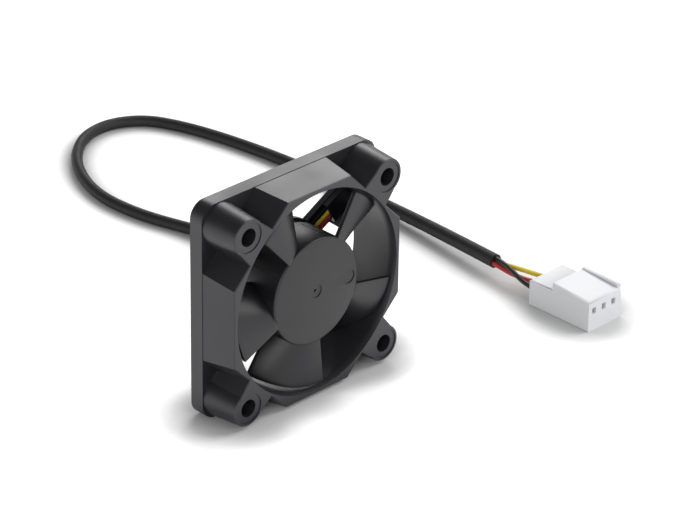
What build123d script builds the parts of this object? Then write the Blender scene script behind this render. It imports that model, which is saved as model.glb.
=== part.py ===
from build123d import *
import os
from math import cos, pi, radians, sin, sqrt, tan

# Axial cooling fan, 40 x 40 x 10 mm, with its three-wire lead and plug.
# It stands on the lower edge of its frame. X runs to the right, Y from the open
# front to the motor side at the rear, Z up. The origin is under the middle of the
# frame. A depth is counted from the front face of the frame towards the rear.

# Frame
FRAME_WIDTH = 40.0
FRAME_DEPTH = 10.0
FLANGE_THICKNESS = 3.0
FLANGE_CORNER_RADIUS = 3.0
HOLE_SPACING = 32.0
HOLE_DIAMETER = 3.2
POST_RADIUS = 3.25
POST_FOOT_RADIUS = 3.85
POST_RECESS_RADIUS = 2.75
POST_RECESS_DEPTH = 0.15
POST_WEB_INSET = 0.15
POST_WEB_FLARE = 0.6
BODY_FRONT_INSET = 0.7
BODY_FOOT_INSET = 0.08
BODY_FLAT_LENGTH = 14.4
BODY_FOOT_FLAT_LENGTH = 16.3
BODY_EDGE_CHAMFER = 0.15
FLANGE_EDGE_CHAMFER = 0.2
DUCT_RADIUS = 18.25
DUCT_WALL = 0.75
MOUTH_FLARE = 0.35
MOUTH_LENGTH = 1.6

# Impeller
HUB_RADIUS = 9.75
HUB_RECESS = 0.5
HUB_RIM_GAP = 0.3
HUB_WALL = 0.75
HUB_FACE_THICKNESS = 0.9
HUB_EDGE_RADIUS = 0.45
HUB_MARK_RADIUS = 1.4
HUB_MARK_DEPTH = 0.35
HUB_MARK_EDGE_DISTANCE = 2.15
HUB_PIP_RADIUS = 0.35
HUB_LINE_WIDTH = 0.14
HUB_LINE_DEPTH = 0.1
HUB_LINE_AHEAD = 18.0
HUB_LINE_END_GAP = 0.3
BLADE_COUNT = 5
BLADE_TIP_CLEARANCE = 0.4
BLADE_SPAN_ANGLE = 41.0
BLADE_LEADING_ANGLE = -12.0
BLADE_BASE_GAP = 2.2
BLADE_THICKNESS = 0.8
BLADE_TRAILING_THICKNESS = 0.55
BLADE_CAMBER_POWER = 2.8
BLADE_ENTRY_SLOPE = 0.04
BLADE_STATIONS = 7
BLADE_OVERLAP = 0.3

# Rotor magnet system and shaft
YOKE_CLEARANCE = 0.05
YOKE_THICKNESS = 0.5
YOKE_BOARD_GAP = 0.25
MAGNET_THICKNESS = 1.05
MAGNET_YOKE_GAP = 0.35
MAGNET_OVERLENGTH = 1.3
SHAFT_RADIUS = 0.75
SHAFT_CAP_GAP = 0.3
SHAFT_BOSS_RADIUS = 1.5
SHAFT_BOSS_LENGTH = 1.3
SHAFT_GROOVE_DEPTH = 0.2
RETAINING_RING_RADIUS = 1.3
RETAINING_RING_THICKNESS = 0.25
RETAINING_RING_SETBACK = 0.5
WASHER_RADIUS = 1.5
WASHER_THICKNESS = 0.3

# Motor base, struts and bearing
BASE_OVERHANG = 0.25
BASE_THICKNESS = 0.9
BASE_RIM_WIDTH = 1.2
BASE_RIM_HEIGHT = 1.2
BASE_EDGE_WIDTH = 0.8
LABEL_RECESS_DEPTH = 0.2
STRUT_ANGLE = 28.5
STRUT_EDGE_OFFSET = 4.3
STRUT_WIDTH = 2.0
STRUT_COUNT = 4
STRUT_OVERLAP = 2.5
LEAD_STRUT_LIP = 0.5
LEAD_STRUT_LIP_HEIGHT = 0.25
LEAD_COVER_START = 13.0
LEAD_COVER_THICKNESS = 0.4
EXIT_WEB_START = 12.6
EXIT_WEB_SLANT = 2.2
EXIT_WEB_WIDTH = 5.2
BEARING_RADIUS = 2.0
BEARING_CLEARANCE = 0.03
BEARING_END_GAP = 0.2
BEARING_RING_GAP = 0.3
BEARING_TUBE_WALL = 0.7
CAP_THICKNESS = 0.6

# Stator
AIR_GAP = 0.3
CORE_RING_RADIUS = 3.7
POLE_COUNT = 4
POLE_NECK_WIDTH = 1.8
POLE_SHOE_THICKNESS = 0.75
POLE_SHOE_HALF_ANGLE = 33.0
INSULATOR_THICKNESS = 0.4
INSULATOR_OVERHANG = 0.25
INSULATOR_RING_OVERHANG = 0.3
INSULATOR_LIP_THICKNESS = 0.45
INSULATOR_LIP_HEIGHT = 0.3
COIL_THICKNESS = 0.6
COIL_CLEARANCE = 0.05
COIL_FRONT_GAP = 0.3
COIL_BOARD_GAP = 0.15
COIL_CORNER_RADIUS = 0.5
PIN_RADIUS = 0.25
PIN_RING_DISTANCE = 0.4
PIN_BOSS_RADIUS = 0.6
PIN_STAND_OUT = 0.3
PIN_HOLE_CLEARANCE = 0.06
SOLDER_RADIUS = 0.55
SOLDER_HEIGHT = 0.4

# Circuit board
BOARD_HUB_GAP = 0.3
BOARD_SEAT_WIDTH = 0.5
BOARD_THICKNESS = 0.6
BOARD_HEIGHT = 1.0
BOARD_BORE_CLEARANCE = 0.05
CHIP_SIZE = (1.6, 2.9, 0.45)
CHIP_EDGE_DISTANCE = 0.6
CHIP_ANGLE = 205.0
CAPACITOR_SIZE = (1.25, 2.0, 0.8)
CAPACITOR_ANGLE = 140.0
RESISTOR_SIZE = (0.8, 1.6, 0.45)
RESISTOR_ANGLE = 250.0
SMALL_PART_EDGE_DISTANCE = 2.1

# Leads, sleeve and plug
LEAD_DIAMETER = 0.9
LEAD_PITCH = 1.05
LEAD_SLOT_CLEARANCE = 0.1
LEAD_BOARD_OVERLAP = 2.3
LEAD_TAIL = 1.2
BEND_SHARE = 0.45
BUNDLE_GAP = 0.06
SLEEVE_DIAMETER = 2.2
# Corner points of the sleeve's middle line, from the fan to the plug
SLEEVE_POINTS = [
    (21.4, 7.6, 33.0), (22.2, 14.5, 30.6), (23.6, 22.0, 24.4), (24.8, 28.8, 16.4),
    (25.4, 35.6, 8.6), (25.2, 43.4, 2.6), (24.4, 53.2, 1.12), (21.2, 64.5, 1.12),
    (21.0, 76.0, 1.12), (26.0, 87.5, 1.12), (34.0, 95.4, 1.12), (42.0, 97.4, 1.12),
    (49.2, 93.9, 1.12), (52.7, 86.5, 1.12), (55.0, 77.0, 1.12), (56.6, 64.0, 1.2),
    (57.0, 50.0, 1.4), (56.5, 35.6, 1.8), (55.3, 19.3, 2.4), (53.2, 3.3, 3.2)]
PLUG_LEAD_YELLOW_POINTS = [(54.6, -1.0, 2.9), (55.7, -4.4, 2.6)]
PLUG_LEAD_RED_POINTS = [(52.6, -0.6, 2.6), (52.9, -4.2, 2.5)]
PLUG_LEAD_BLACK_POINTS = [(52.2, -1.2, 3.8), (51.3, -5.0, 3.0)]

# Plug, lying on the floor beside the fan with its mating face to the front
PLUG_CENTRE_X = 54.2
PLUG_REAR_Y = -8.0
PLUG_WIDTH = 8.6
PLUG_LENGTH = 14.0
PLUG_REAR_HEIGHT = 5.1
PLUG_FRONT_HEIGHT = 6.5
PLUG_FRONT_EDGE_HEIGHT = 6.0
PLUG_FRONT_LENGTH = 8.6
PLUG_WALL_WIDTH = 0.9
PLUG_WALL_HEIGHT = 0.8
PLUG_EDGE_RADIUS = 0.25
PLUG_PITCH = 2.54
PLUG_ROW_SHIFT = -0.3
PLUG_HOLE_HEIGHT = 3.85
PLUG_HOLE_SIZE = (1.0, 1.2)
PLUG_FACE_THICKNESS = 1.0
PLUG_ENTRY_HEIGHT = 2.6
PLUG_ENTRY_RADIUS = 0.75
CAVITY_WIDTH = 1.8
CAVITY_BOTTOM = 1.6
CAVITY_TOP = 4.6
CAVITY_REAR_WALL = 2.6
TERMINAL_WIDTH = 1.5
TERMINAL_HEIGHT = 1.9
TERMINAL_LENGTH = 6.0
TERMINAL_WALL = 0.2
CRIMP_RADIUS = 0.62
CRIMP_LENGTH = 1.8
LEAD_ENTRY_LENGTH = 0.6

# Places worked out from the sizes above
AXIS_HEIGHT = FRAME_WIDTH / 2
BODY_LENGTH = FRAME_DEPTH - FLANGE_THICKNESS
BLADE_TIP_RADIUS = DUCT_RADIUS - BLADE_TIP_CLEARANCE
HUB_INNER_RADIUS = HUB_RADIUS - HUB_WALL
HUB_INNER_DEPTH = HUB_RECESS + HUB_FACE_THICKNESS
BASE_RADIUS = HUB_RADIUS + BASE_OVERHANG
BOARD_RADIUS = HUB_INNER_RADIUS - BOARD_HUB_GAP
BOARD_SEAT_RADIUS = BOARD_RADIUS - BOARD_SEAT_WIDTH
BASE_RIM_RADIUS = BOARD_SEAT_RADIUS + BASE_RIM_WIDTH
BASE_FRONT = FRAME_DEPTH - BASE_THICKNESS
BOARD_REAR = BASE_FRONT - BOARD_HEIGHT
BOARD_FRONT = BOARD_REAR - BOARD_THICKNESS
HUB_REAR = BASE_FRONT - BASE_RIM_HEIGHT - HUB_RIM_GAP
BLADE_AXIAL_LENGTH = BASE_FRONT - BLADE_BASE_GAP - HUB_RECESS
YOKE_RADIUS = HUB_INNER_RADIUS - YOKE_CLEARANCE
YOKE_START = HUB_INNER_DEPTH + YOKE_CLEARANCE
YOKE_INNER_DEPTH = YOKE_START + YOKE_THICKNESS
YOKE_END = BOARD_FRONT - YOKE_BOARD_GAP
MAGNET_RADIUS = YOKE_RADIUS - YOKE_THICKNESS - YOKE_CLEARANCE
MAGNET_INNER_RADIUS = MAGNET_RADIUS - MAGNET_THICKNESS
CORE_RADIUS = MAGNET_INNER_RADIUS - AIR_GAP
COIL_END_LENGTH = INSULATOR_THICKNESS + COIL_CLEARANCE + COIL_THICKNESS
CORE_START = YOKE_INNER_DEPTH + COIL_FRONT_GAP + COIL_END_LENGTH
CORE_END = BOARD_FRONT - COIL_BOARD_GAP - COIL_END_LENGTH
CORE_LENGTH = CORE_END - CORE_START
MAGNET_START = YOKE_INNER_DEPTH + MAGNET_YOKE_GAP
MAGNET_END = MAGNET_START + CORE_LENGTH + MAGNET_OVERLENGTH
INSULATOR_RING = CORE_RING_RADIUS + INSULATOR_RING_OVERHANG
PIN_CIRCLE_RADIUS = INSULATOR_RING + PIN_RING_DISTANCE
PIN_END = BOARD_REAR + PIN_STAND_OUT
TUBE_RADIUS = BEARING_RADIUS + BEARING_TUBE_WALL
SHAFT_BOSS_END = HUB_INNER_DEPTH + SHAFT_BOSS_LENGTH
CAP_END = FRAME_DEPTH - LABEL_RECESS_DEPTH
SHAFT_END = CAP_END - CAP_THICKNESS - SHAFT_CAP_GAP
RETAINING_RING_DEPTH = SHAFT_END - RETAINING_RING_SETBACK
BEARING_START = SHAFT_BOSS_END + WASHER_THICKNESS + BEARING_END_GAP
BEARING_END = RETAINING_RING_DEPTH - BEARING_RING_GAP
CHIP_RADIUS = BOARD_RADIUS - CHIP_EDGE_DISTANCE - CHIP_SIZE[0] / 2
SMALL_PART_RADIUS = BOARD_RADIUS - SMALL_PART_EDGE_DISTANCE
LEAD_START = BOARD_RADIUS - LEAD_BOARD_OVERLAP
LEAD_DEPTH = BASE_FRONT - LEAD_DIAMETER / 2
LEAD_COVER_END = LEAD_DEPTH - LEAD_DIAMETER / 2 - LEAD_SLOT_CLEARANCE
LEAD_CHANNEL_TOP = STRUT_EDGE_OFFSET - LEAD_STRUT_LIP
LEAD_CHANNEL_WIDTH = 3 * LEAD_PITCH + 2 * LEAD_SLOT_CLEARANCE
LEAD_CHANNEL_BOTTOM = LEAD_CHANNEL_TOP - LEAD_CHANNEL_WIDTH
LEAD_STRUT_BOTTOM = LEAD_CHANNEL_BOTTOM - LEAD_STRUT_LIP
LEAD_OFFSETS = [LEAD_CHANNEL_TOP - LEAD_SLOT_CLEARANCE - LEAD_PITCH * (n + 0.5) for n in range(3)]

AXLE = Axis((0, 0, AXIS_HEIGHT), (0, 1, 0))
# In this plane x is the radius and y the depth
RADIAL_PLANE = Plane(origin=(0, -FRAME_DEPTH / 2, AXIS_HEIGHT), x_dir=(1, 0, 0), z_dir=(0, 0, 1))


def across(depth):
    """The plane square to the fan's axis at this depth, seen from the front."""
    return Plane(origin=(0, depth - FRAME_DEPTH / 2, AXIS_HEIGHT), x_dir=(1, 0, 0), z_dir=(0, -1, 0))


def along_strut(along, offset, depth):
    """A point beside the lead strut: distance from the axis, offset to its upper side."""
    angle = radians(STRUT_ANGLE)
    x = along * cos(angle) - offset * sin(angle)
    z = along * sin(angle) + offset * cos(angle)
    return Vector(x, depth - FRAME_DEPTH / 2, AXIS_HEIGHT + z)


def disc(start, end, radius, hole=0.0):
    """A disc or ring about the fan's axis between two depths."""
    with BuildPart() as body:
        with BuildSketch(across(end)):
            Circle(radius)
            if hole:
                Circle(hole, mode=Mode.SUBTRACT)
        extrude(amount=end - start)
    return body


def finish(body, label):
    """Name a finished piece and write its file."""
    body.part.label = label
    export_step(body.part, "parts/" + label + ".step")
    print(label, round(body.part.volume, 2))


os.makedirs("parts", exist_ok=True)


# Housing: square flange, eight-sided body, four screw posts, duct, motor base and struts
POST_DISTANCE = HOLE_SPACING / 2 * sqrt(2)


def octagon(depth, inset, flat_length):
    """The eight-sided outline of the body at this depth."""
    half = FRAME_WIDTH / 2 - inset
    flat = flat_length / 2
    corners = [(flat, half), (-flat, half), (-half, flat), (-half, -flat)]
    corners += [(-x, -y) for x, y in corners]
    with BuildSketch(across(depth)) as outline:
        Polygon(*corners, align=None)
    return outline.sketch


def web(depth, half_width):
    """The web between a post and the duct, wider at the duct; it lies along x."""
    start = DUCT_RADIUS - DUCT_WALL
    with BuildSketch(across(depth)) as outline:
        Polygon(
            (POST_DISTANCE, half_width), (start, half_width + POST_WEB_FLARE),
            (start, -half_width - POST_WEB_FLARE), (POST_DISTANCE, -half_width), align=None)
    return outline.sketch


def circle_at_post(depth, radius):
    """The round outline of the post that lies along x at this depth."""
    with BuildSketch(across(depth)) as outline:
        with Locations((POST_DISTANCE, 0)):
            Circle(radius)
    return outline.sketch


def sides(body):
    """The edges round a drafted block's front face."""
    return body.faces().sort_by(Axis.Y)[0].edges()


# One post and its web, with the draft of the mould: both are thicker at the flange
with BuildPart() as post:
    loft([circle_at_post(BODY_LENGTH, POST_FOOT_RADIUS).face(), circle_at_post(0, POST_RADIUS).face()],
         ruled=True)
    chamfer(sides(post), BODY_EDGE_CHAMFER)
with BuildPart() as post_web:
    loft([web(BODY_LENGTH, POST_FOOT_RADIUS - POST_WEB_INSET).face(),
          web(0, POST_RADIUS - POST_WEB_INSET).face()], ruled=True)
    chamfer(sides(post_web), BODY_EDGE_CHAMFER)

with BuildPart() as body_block:
    loft([octagon(BODY_LENGTH, BODY_FOOT_INSET, BODY_FOOT_FLAT_LENGTH).face(),
          octagon(0, BODY_FRONT_INSET, BODY_FLAT_LENGTH).face()], ruled=True)
    chamfer(sides(body_block), BODY_EDGE_CHAMFER)

with BuildPart() as housing:
    with BuildSketch(across(FRAME_DEPTH)):
        RectangleRounded(FRAME_WIDTH, FRAME_WIDTH, FLANGE_CORNER_RADIUS)
    extrude(amount=FLANGE_THICKNESS)
    chamfer(housing.faces().sort_by(Axis.Y)[-1].edges(), FLANGE_EDGE_CHAMFER)
    # The body stands just inside the flange's edge, which leaves a fine line all round
    add(body_block.part)
    for angle in (45, 135, 225, 315):
        add(post.part.rotate(AXLE, angle))
        add(post_web.part.rotate(AXLE, angle))
    # Duct with its flared mouth
    with BuildSketch(RADIAL_PLANE):
        with BuildLine():
            rear_wall = Line((DUCT_RADIUS, FRAME_DEPTH), (DUCT_RADIUS, MOUTH_LENGTH))
            mouth = TangentArc(rear_wall @ 1, (DUCT_RADIUS + MOUTH_FLARE, 0), tangent=rear_wall % 1)
            Polyline(mouth @ 1, (0, 0), (0, FRAME_DEPTH), rear_wall @ 0)
        make_face()
    revolve(axis=AXLE, mode=Mode.SUBTRACT)
    # Motor base with the board's seat, and the bearing tube
    with BuildSketch(across(FRAME_DEPTH)):
        Circle(BASE_RADIUS)
    extrude(amount=BASE_THICKNESS)
    with BuildSketch(across(BASE_FRONT)):
        Circle(BASE_RIM_RADIUS)
        Circle(BOARD_SEAT_RADIUS, mode=Mode.SUBTRACT)
    extrude(amount=BASE_RIM_HEIGHT)
    with BuildSketch(across(BOARD_REAR)):
        Circle(BOARD_RADIUS + BOARD_BORE_CLEARANCE)
    extrude(amount=BOARD_THICKNESS, mode=Mode.SUBTRACT)
    with BuildSketch(across(BASE_FRONT)):
        Circle(TUBE_RADIUS)
    extrude(amount=BASE_FRONT - BEARING_START + BEARING_END_GAP / 2)
    # Plain struts leave the base along its side, a quarter turn apart
    strut_start = BASE_RADIUS - STRUT_OVERLAP
    strut_length = DUCT_RADIUS + DUCT_WALL / 2 - strut_start
    with BuildSketch(across(FRAME_DEPTH)):
        with PolarLocations(0, STRUT_COUNT, start_angle=STRUT_ANGLE):
            with Locations((strut_start, STRUT_EDGE_OFFSET - STRUT_WIDTH)):
                Rectangle(strut_length, STRUT_WIDTH, align=(Align.MIN, Align.MIN))
    extrude(amount=BASE_THICKNESS)
    # The lead strut is wider, with a low lip on either side, and spreads where the leads leave
    with BuildSketch(across(FRAME_DEPTH)):
        with Locations(Location((0, 0, 0), (0, 0, STRUT_ANGLE))):
            with Locations((strut_start, LEAD_STRUT_BOTTOM)):
                Rectangle(strut_length, STRUT_EDGE_OFFSET - LEAD_STRUT_BOTTOM, align=(Align.MIN, Align.MIN))
            Polygon(
                (EXIT_WEB_START, 0), (EXIT_WEB_START + EXIT_WEB_SLANT, -EXIT_WEB_WIDTH),
                (DUCT_RADIUS + DUCT_WALL, -EXIT_WEB_WIDTH), (DUCT_RADIUS + DUCT_WALL, 0), align=None)
    extrude(amount=BASE_THICKNESS)
    lip_start = BASE_RIM_RADIUS - BASE_RIM_WIDTH
    with BuildSketch(across(BASE_FRONT)):
        with Locations(Location((0, 0, 0), (0, 0, STRUT_ANGLE))):
            with Locations((lip_start, LEAD_CHANNEL_TOP), (lip_start, LEAD_STRUT_BOTTOM)):
                Rectangle(strut_start + strut_length - lip_start, LEAD_STRUT_LIP,
                          align=(Align.MIN, Align.MIN))
    extrude(amount=LEAD_STRUT_LIP_HEIGHT)
    # A cover bridges the leads over the outer half of the strut
    cover_middle = (STRUT_EDGE_OFFSET + LEAD_STRUT_BOTTOM) / 2
    cover_width = STRUT_EDGE_OFFSET - LEAD_STRUT_BOTTOM - LEAD_STRUT_LIP / 2
    with BuildSketch(across(FRAME_DEPTH - BASE_THICKNESS / 2)):
        with Locations(Location((0, 0, 0), (0, 0, STRUT_ANGLE))):
            with Locations((LEAD_COVER_START, cover_middle)):
                Rectangle(DUCT_RADIUS + DUCT_WALL - LEAD_COVER_START, cover_width,
                          align=(Align.MIN, Align.CENTER))
    extrude(amount=FRAME_DEPTH - BASE_THICKNESS / 2 - LEAD_COVER_END + LEAD_COVER_THICKNESS)
    # Slot for the leads through the base rim, under the cover, and through the duct wall and flange
    slot_middle = (LEAD_CHANNEL_TOP + LEAD_CHANNEL_BOTTOM) / 2
    slot_width = LEAD_CHANNEL_WIDTH - LEAD_SLOT_CLEARANCE
    slot_start = LEAD_START - LEAD_DIAMETER
    with BuildSketch(across(BASE_FRONT)):
        with Locations(Location((0, 0, 0), (0, 0, STRUT_ANGLE))):
            with Locations((slot_start, slot_middle)):
                Rectangle(FRAME_WIDTH, slot_width, align=(Align.MIN, Align.CENTER))
    extrude(amount=BASE_FRONT - LEAD_COVER_END - LEAD_SLOT_CLEARANCE / 2, mode=Mode.SUBTRACT)
    # Bore for the bearing, seat for a label, and screw holes with a shallow ring seat
    with BuildSketch(across(FRAME_DEPTH)):
        Circle(BEARING_RADIUS)
    extrude(amount=FRAME_DEPTH, mode=Mode.SUBTRACT)
    with BuildSketch(across(FRAME_DEPTH)):
        Circle(BASE_RADIUS - BASE_EDGE_WIDTH)
    extrude(amount=LABEL_RECESS_DEPTH, mode=Mode.SUBTRACT)
    with BuildSketch(across(FRAME_DEPTH)):
        with GridLocations(HOLE_SPACING, HOLE_SPACING, 2, 2):
            Circle(HOLE_DIAMETER / 2)
    extrude(amount=FRAME_DEPTH, mode=Mode.SUBTRACT)
    with BuildSketch(across(POST_RECESS_DEPTH)):
        with GridLocations(HOLE_SPACING, HOLE_SPACING, 2, 2):
            Circle(POST_RECESS_RADIUS)
    extrude(amount=POST_RECESS_DEPTH, mode=Mode.SUBTRACT)
finish(housing, "housing")


# Impeller: a cup-shaped hub with a shaft boss, and blades that curve from a shallow
# leading edge to a steep trailing edge
def blade_depth(share):
    """Depth of a blade's front surface at this share of its span angle."""
    curve = BLADE_ENTRY_SLOPE * share + (1 - BLADE_ENTRY_SLOPE) * share ** BLADE_CAMBER_POWER
    return HUB_RECESS + BLADE_AXIAL_LENGTH * curve


def blade_section(distance):
    """Blade profile in the plane at this distance from the axis, square to the blade's middle."""
    half = radians(BLADE_SPAN_ANGLE / 2)
    shares = [n / (BLADE_STATIONS - 1) for n in range(BLADE_STATIONS)]
    front = [(distance * tan(half * (1 - 2 * s)), blade_depth(s)) for s in shares]
    rear = []
    for n, s in enumerate(shares):
        before = front[max(n - 1, 0)]
        after = front[min(n + 1, BLADE_STATIONS - 1)]
        run, fall = before[0] - after[0], after[1] - before[1]
        slope = sqrt(run * run + fall * fall)
        thickness = BLADE_THICKNESS + (BLADE_TRAILING_THICKNESS - BLADE_THICKNESS) * s
        rear.append((front[n][0] + thickness * fall / slope * s, front[n][1] + thickness * run / slope))
    plane = Plane(origin=(distance, -FRAME_DEPTH / 2, AXIS_HEIGHT), x_dir=(0, 0, 1), z_dir=(-1, 0, 0))
    with BuildSketch(plane) as section:
        with BuildLine():
            Spline(*front)
            Spline(*rear)
            Line(front[0], rear[0])
            Line(front[-1], rear[-1])
        make_face()
    return section.sketch


with BuildPart() as blade:
    root = blade_section(HUB_RADIUS * cos(radians(BLADE_SPAN_ANGLE / 2)) - BLADE_OVERLAP)
    tip = blade_section(BLADE_TIP_RADIUS + BLADE_OVERLAP)
    loft([root.face(), tip.face()], ruled=True)
    with BuildSketch(across(FRAME_DEPTH)):
        Circle(BLADE_TIP_RADIUS)
        Circle(HUB_INNER_RADIUS + HUB_WALL / 2, mode=Mode.SUBTRACT)
    extrude(amount=FRAME_DEPTH, mode=Mode.INTERSECT)

with BuildPart() as impeller:
    with BuildSketch(RADIAL_PLANE):
        with BuildLine():
            Polyline(
                (0, HUB_RECESS), (HUB_RADIUS, HUB_RECESS), (HUB_RADIUS, HUB_REAR),
                (HUB_INNER_RADIUS, HUB_REAR), (HUB_INNER_RADIUS, HUB_INNER_DEPTH),
                (SHAFT_BOSS_RADIUS, HUB_INNER_DEPTH), (SHAFT_BOSS_RADIUS, SHAFT_BOSS_END),
                (0, SHAFT_BOSS_END), close=True)
        make_face()
    revolve(axis=AXLE)
    fillet(impeller.edges().filter_by(GeomType.CIRCLE).group_by(Axis.Y)[0], HUB_EDGE_RADIUS)
    # Shallow round marks on the hub's face: one at the middle with a pip, one near the edge
    with BuildSketch(across(HUB_RECESS + HUB_MARK_DEPTH)):
        with Locations((0, 0), (HUB_RADIUS - HUB_MARK_EDGE_DISTANCE, 0)):
            Circle(HUB_MARK_RADIUS)
        with Locations((0, 0)):
            Circle(HUB_PIP_RADIUS, mode=Mode.SUBTRACT)
    extrude(amount=HUB_MARK_DEPTH, mode=Mode.SUBTRACT)
    # Blind bore for the shaft
    with BuildSketch(across(SHAFT_BOSS_END)):
        Circle(SHAFT_RADIUS)
    extrude(amount=SHAFT_BOSS_LENGTH, mode=Mode.SUBTRACT)
    # Fine axial lines on the hub between the blades
    with BuildSketch(across(HUB_REAR)):
        with PolarLocations(HUB_RADIUS, BLADE_COUNT, start_angle=BLADE_LEADING_ANGLE + HUB_LINE_AHEAD):
            Rectangle(2 * HUB_LINE_DEPTH, HUB_LINE_WIDTH)
    extrude(amount=HUB_REAR - HUB_RECESS - HUB_EDGE_RADIUS - HUB_LINE_END_GAP, mode=Mode.SUBTRACT)
    for n in range(BLADE_COUNT):
        turn = BLADE_LEADING_ANGLE - BLADE_SPAN_ANGLE / 2 + n * 360 / BLADE_COUNT
        add(blade.part.rotate(AXLE, -turn))
finish(impeller, "impeller")


# Steel yoke, bonded magnet ring, and the shaft with its washer and retaining ring
with BuildPart() as rotor_yoke:
    with BuildSketch(RADIAL_PLANE):
        inner = YOKE_RADIUS - YOKE_THICKNESS
        bend = YOKE_THICKNESS / 2
        with BuildLine():
            Polyline(
                (SHAFT_BOSS_RADIUS + YOKE_CLEARANCE, YOKE_START), (YOKE_RADIUS - bend, YOKE_START),
                (YOKE_RADIUS, YOKE_START + bend), (YOKE_RADIUS, YOKE_END), (inner, YOKE_END),
                (inner, YOKE_INNER_DEPTH), (SHAFT_BOSS_RADIUS + YOKE_CLEARANCE, YOKE_INNER_DEPTH), close=True)
        make_face()
    revolve(axis=AXLE)
finish(rotor_yoke, "rotor_yoke")

ring_magnet = disc(MAGNET_START, MAGNET_END, MAGNET_RADIUS, MAGNET_INNER_RADIUS)
finish(ring_magnet, "ring_magnet")

with BuildPart() as shaft:
    add(disc(HUB_INNER_DEPTH, SHAFT_END, SHAFT_RADIUS).part)
    chamfer(shaft.edges().filter_by(GeomType.CIRCLE), SHAFT_RADIUS / 5)
    groove_end = RETAINING_RING_DEPTH + RETAINING_RING_THICKNESS + YOKE_CLEARANCE
    add(disc(RETAINING_RING_DEPTH - YOKE_CLEARANCE, groove_end, RETAINING_RING_RADIUS,
             SHAFT_RADIUS - SHAFT_GROOVE_DEPTH).part, mode=Mode.SUBTRACT)
finish(shaft, "shaft")

thrust_washer = disc(SHAFT_BOSS_END, SHAFT_BOSS_END + WASHER_THICKNESS, WASHER_RADIUS,
                     SHAFT_RADIUS + BEARING_CLEARANCE)
finish(thrust_washer, "thrust_washer")

with BuildPart() as retaining_ring:
    with BuildSketch(across(RETAINING_RING_DEPTH + RETAINING_RING_THICKNESS)):
        Circle(RETAINING_RING_RADIUS)
        Circle(SHAFT_RADIUS - SHAFT_GROOVE_DEPTH + BEARING_CLEARANCE, mode=Mode.SUBTRACT)
        Rectangle(RETAINING_RING_RADIUS, 2 * (SHAFT_RADIUS - SHAFT_GROOVE_DEPTH - YOKE_CLEARANCE),
                  align=(Align.MIN, Align.CENTER), mode=Mode.SUBTRACT)
    extrude(amount=RETAINING_RING_THICKNESS)
finish(retaining_ring, "retaining_ring")


# Sintered sleeve bearing in its tube, and the cap that closes the tube
with BuildPart() as sleeve_bearing:
    add(disc(BEARING_START, BEARING_END, BEARING_RADIUS, SHAFT_RADIUS + BEARING_CLEARANCE).part)
    outer_edges = sleeve_bearing.edges().filter_by(GeomType.CIRCLE).sort_by(SortBy.RADIUS)[-2:]
    chamfer(outer_edges, BEARING_RADIUS / 10)
finish(sleeve_bearing, "sleeve_bearing")

bearing_cap = disc(CAP_END - CAP_THICKNESS, CAP_END, BEARING_RADIUS)
finish(bearing_cap, "bearing_cap")


# Stator: laminated core, two insulators and four coils on its poles
def spider(depth, ring, neck):
    """A ring about the bearing tube with one straight neck for each pole."""
    with BuildSketch(across(depth)) as outline:
        Circle(ring)
        with PolarLocations(0, POLE_COUNT, start_angle=180 / POLE_COUNT):
            Rectangle(CORE_RADIUS - POLE_SHOE_THICKNESS / 2, neck, align=(Align.MIN, Align.CENTER))
        Circle(TUBE_RADIUS, mode=Mode.SUBTRACT)
    return outline.sketch


def shoes(depth, inner, outer):
    """One curved shoe for each pole, between two radii."""
    gap = 2 * outer * tan(radians(180 / POLE_COUNT - POLE_SHOE_HALF_ANGLE))
    with BuildSketch(across(depth)) as outline:
        Circle(outer)
        Circle(inner, mode=Mode.SUBTRACT)
        with PolarLocations(0, POLE_COUNT):
            Polygon((0, 0), (2 * outer, gap), (2 * outer, -gap), align=None, mode=Mode.SUBTRACT)
    return outline.sketch


def pins(depth, radius):
    """Circles at the winding pins."""
    with BuildSketch(across(depth)) as outline:
        with PolarLocations(PIN_CIRCLE_RADIUS, POLE_COUNT):
            Circle(radius)
    return outline.sketch


with BuildPart() as stator_core:
    extrude(spider(CORE_END, CORE_RING_RADIUS, POLE_NECK_WIDTH), amount=CORE_LENGTH)
    extrude(shoes(CORE_END, CORE_RADIUS - POLE_SHOE_THICKNESS, CORE_RADIUS), amount=CORE_LENGTH)
finish(stator_core, "stator_core")

INSULATOR_NECK = POLE_NECK_WIDTH + 2 * INSULATOR_OVERHANG
INSULATOR_RADIUS = CORE_RADIUS - INSULATOR_OVERHANG
LIP_INNER_RADIUS = INSULATOR_RADIUS - INSULATOR_LIP_THICKNESS


def insulator(end):
    """A flat insulator that ends at this depth, without its lips."""
    with BuildPart() as body:
        extrude(spider(end, INSULATOR_RING, INSULATOR_NECK), amount=INSULATOR_THICKNESS)
        extrude(shoes(end, CORE_RADIUS - POLE_SHOE_THICKNESS, INSULATOR_RADIUS), amount=INSULATOR_THICKNESS)
    return body


with BuildPart() as front_insulator:
    add(insulator(CORE_START).part)
    extrude(shoes(CORE_START - INSULATOR_THICKNESS, LIP_INNER_RADIUS, INSULATOR_RADIUS),
            amount=INSULATOR_LIP_HEIGHT)
finish(front_insulator, "front_insulator")

REAR_INSULATOR_END = CORE_END + INSULATOR_THICKNESS
with BuildPart() as rear_insulator:
    add(insulator(REAR_INSULATOR_END).part)
    extrude(shoes(REAR_INSULATOR_END + INSULATOR_LIP_HEIGHT, LIP_INNER_RADIUS, INSULATOR_RADIUS),
            amount=INSULATOR_LIP_HEIGHT)
    extrude(pins(REAR_INSULATOR_END, PIN_BOSS_RADIUS), amount=INSULATOR_THICKNESS)
    extrude(pins(REAR_INSULATOR_END, PIN_RADIUS), amount=INSULATOR_THICKNESS, mode=Mode.SUBTRACT)
finish(rear_insulator, "rear_insulator")

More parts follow.
